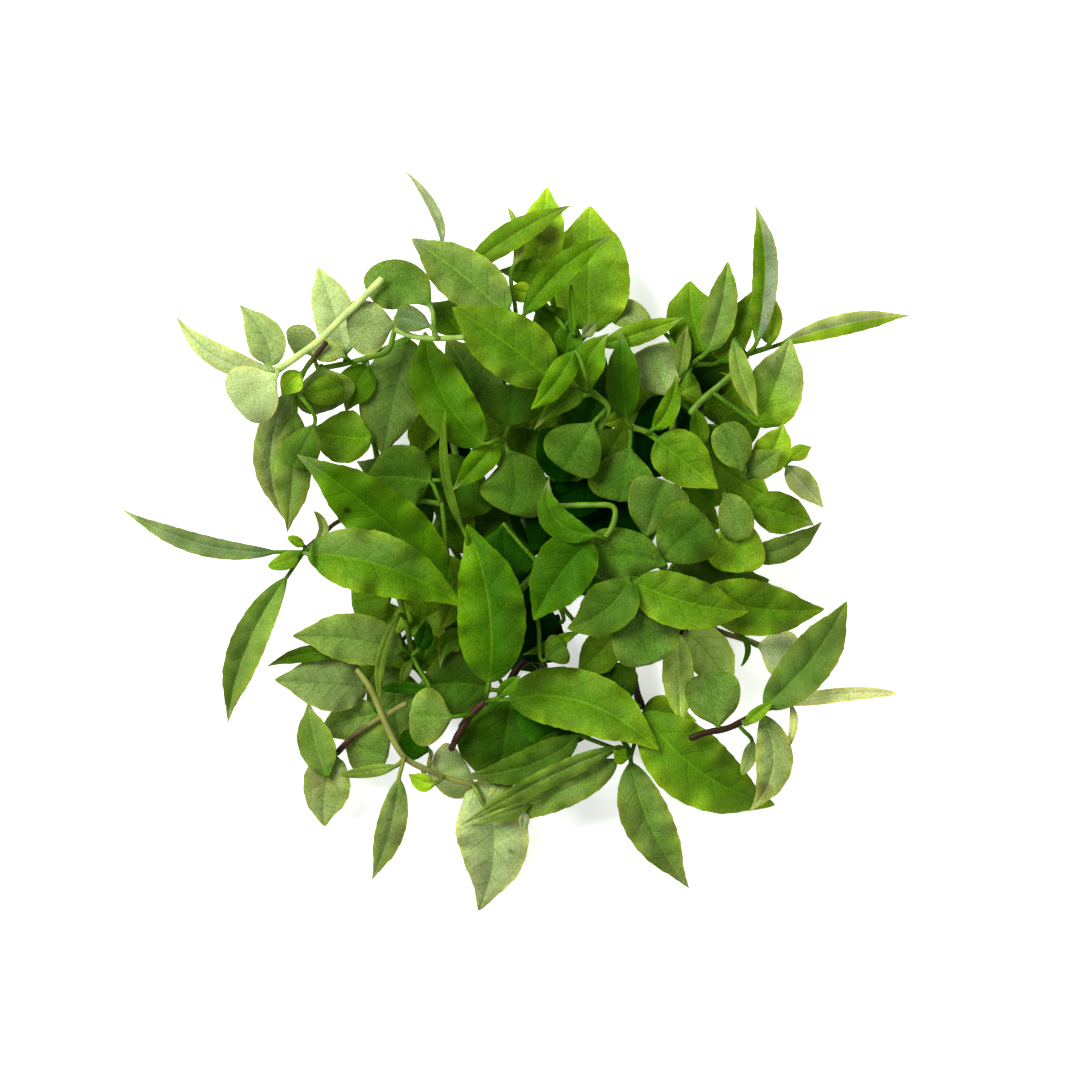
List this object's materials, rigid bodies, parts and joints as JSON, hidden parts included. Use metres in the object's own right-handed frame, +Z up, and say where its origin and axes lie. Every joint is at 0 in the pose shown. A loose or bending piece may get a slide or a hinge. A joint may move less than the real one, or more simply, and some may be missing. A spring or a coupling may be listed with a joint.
{
  "type": "heap of young thai basil sprigs",
  "caption": "Loose heap of young Thai basil sprigs, fine stems with narrow toothed leaves and round seed leaves, lying on a surface.",
  "frame": {"origin": "centre of the heap's outline on the surface that it lies on", "axes": "+X along the heap's longer side, +Y across it, +Z up"},
  "size_m": [0.1222, 0.115, 0.0265],
  "materials": {
    "fresh_leaf": "satin leaf with a lighter midrib",
    "shaded_leaf": "satin leaf, darker",
    "pale_leaf": "matt pale leaf and stalk"
  },
  "bodies": {
    "root": {"lowest_west": "shaded_leaf", "lowest_north": "shaded_leaf", "lowest_east": "shaded_leaf", "lowest_south": "shaded_leaf", "under_south": "shaded_leaf", "under_south_east": "shaded_leaf", "under_centre": "shaded_leaf", "under_west": "shaded_leaf", "under_east": "shaded_leaf", "east_stem_sprig": "pale_leaf", "stalk_sprig": "fresh_leaf", "north_east_sprig": "fresh_leaf", "north_round_sprig": "fresh_leaf", "centre_north_sprig": "fresh_leaf", "north_sprig": "fresh_leaf", "east_seed_sprig": "fresh_leaf", "east_mid_sprig": "fresh_leaf", "crown_north_sprig": "fresh_leaf", "bent_stem_sprig": "pale_leaf", "purple_stem_sprig": "fresh_leaf", "pale_petiole_sprig": "pale_leaf", "pale_stem_sprig": "pale_leaf", "west_inner_sprig": "fresh_leaf", "centre_east_sprig": "fresh_leaf", "north_east_crown_sprig": "fresh_leaf", "east_fan_sprig": "fresh_leaf", "centre_sprig": "fresh_leaf", "purple_fork_sprig": "pale_leaf", "long_stem_sprig": "pale_leaf", "left_middle_sprig": "pale_leaf", "south_sprig": "fresh_leaf", "centre_south_sprig": "fresh_leaf", "south_east_sprig": "fresh_leaf", "west_sprig": "fresh_leaf", "crown_sprig": "fresh_leaf"}
  },
  "joints": []
}
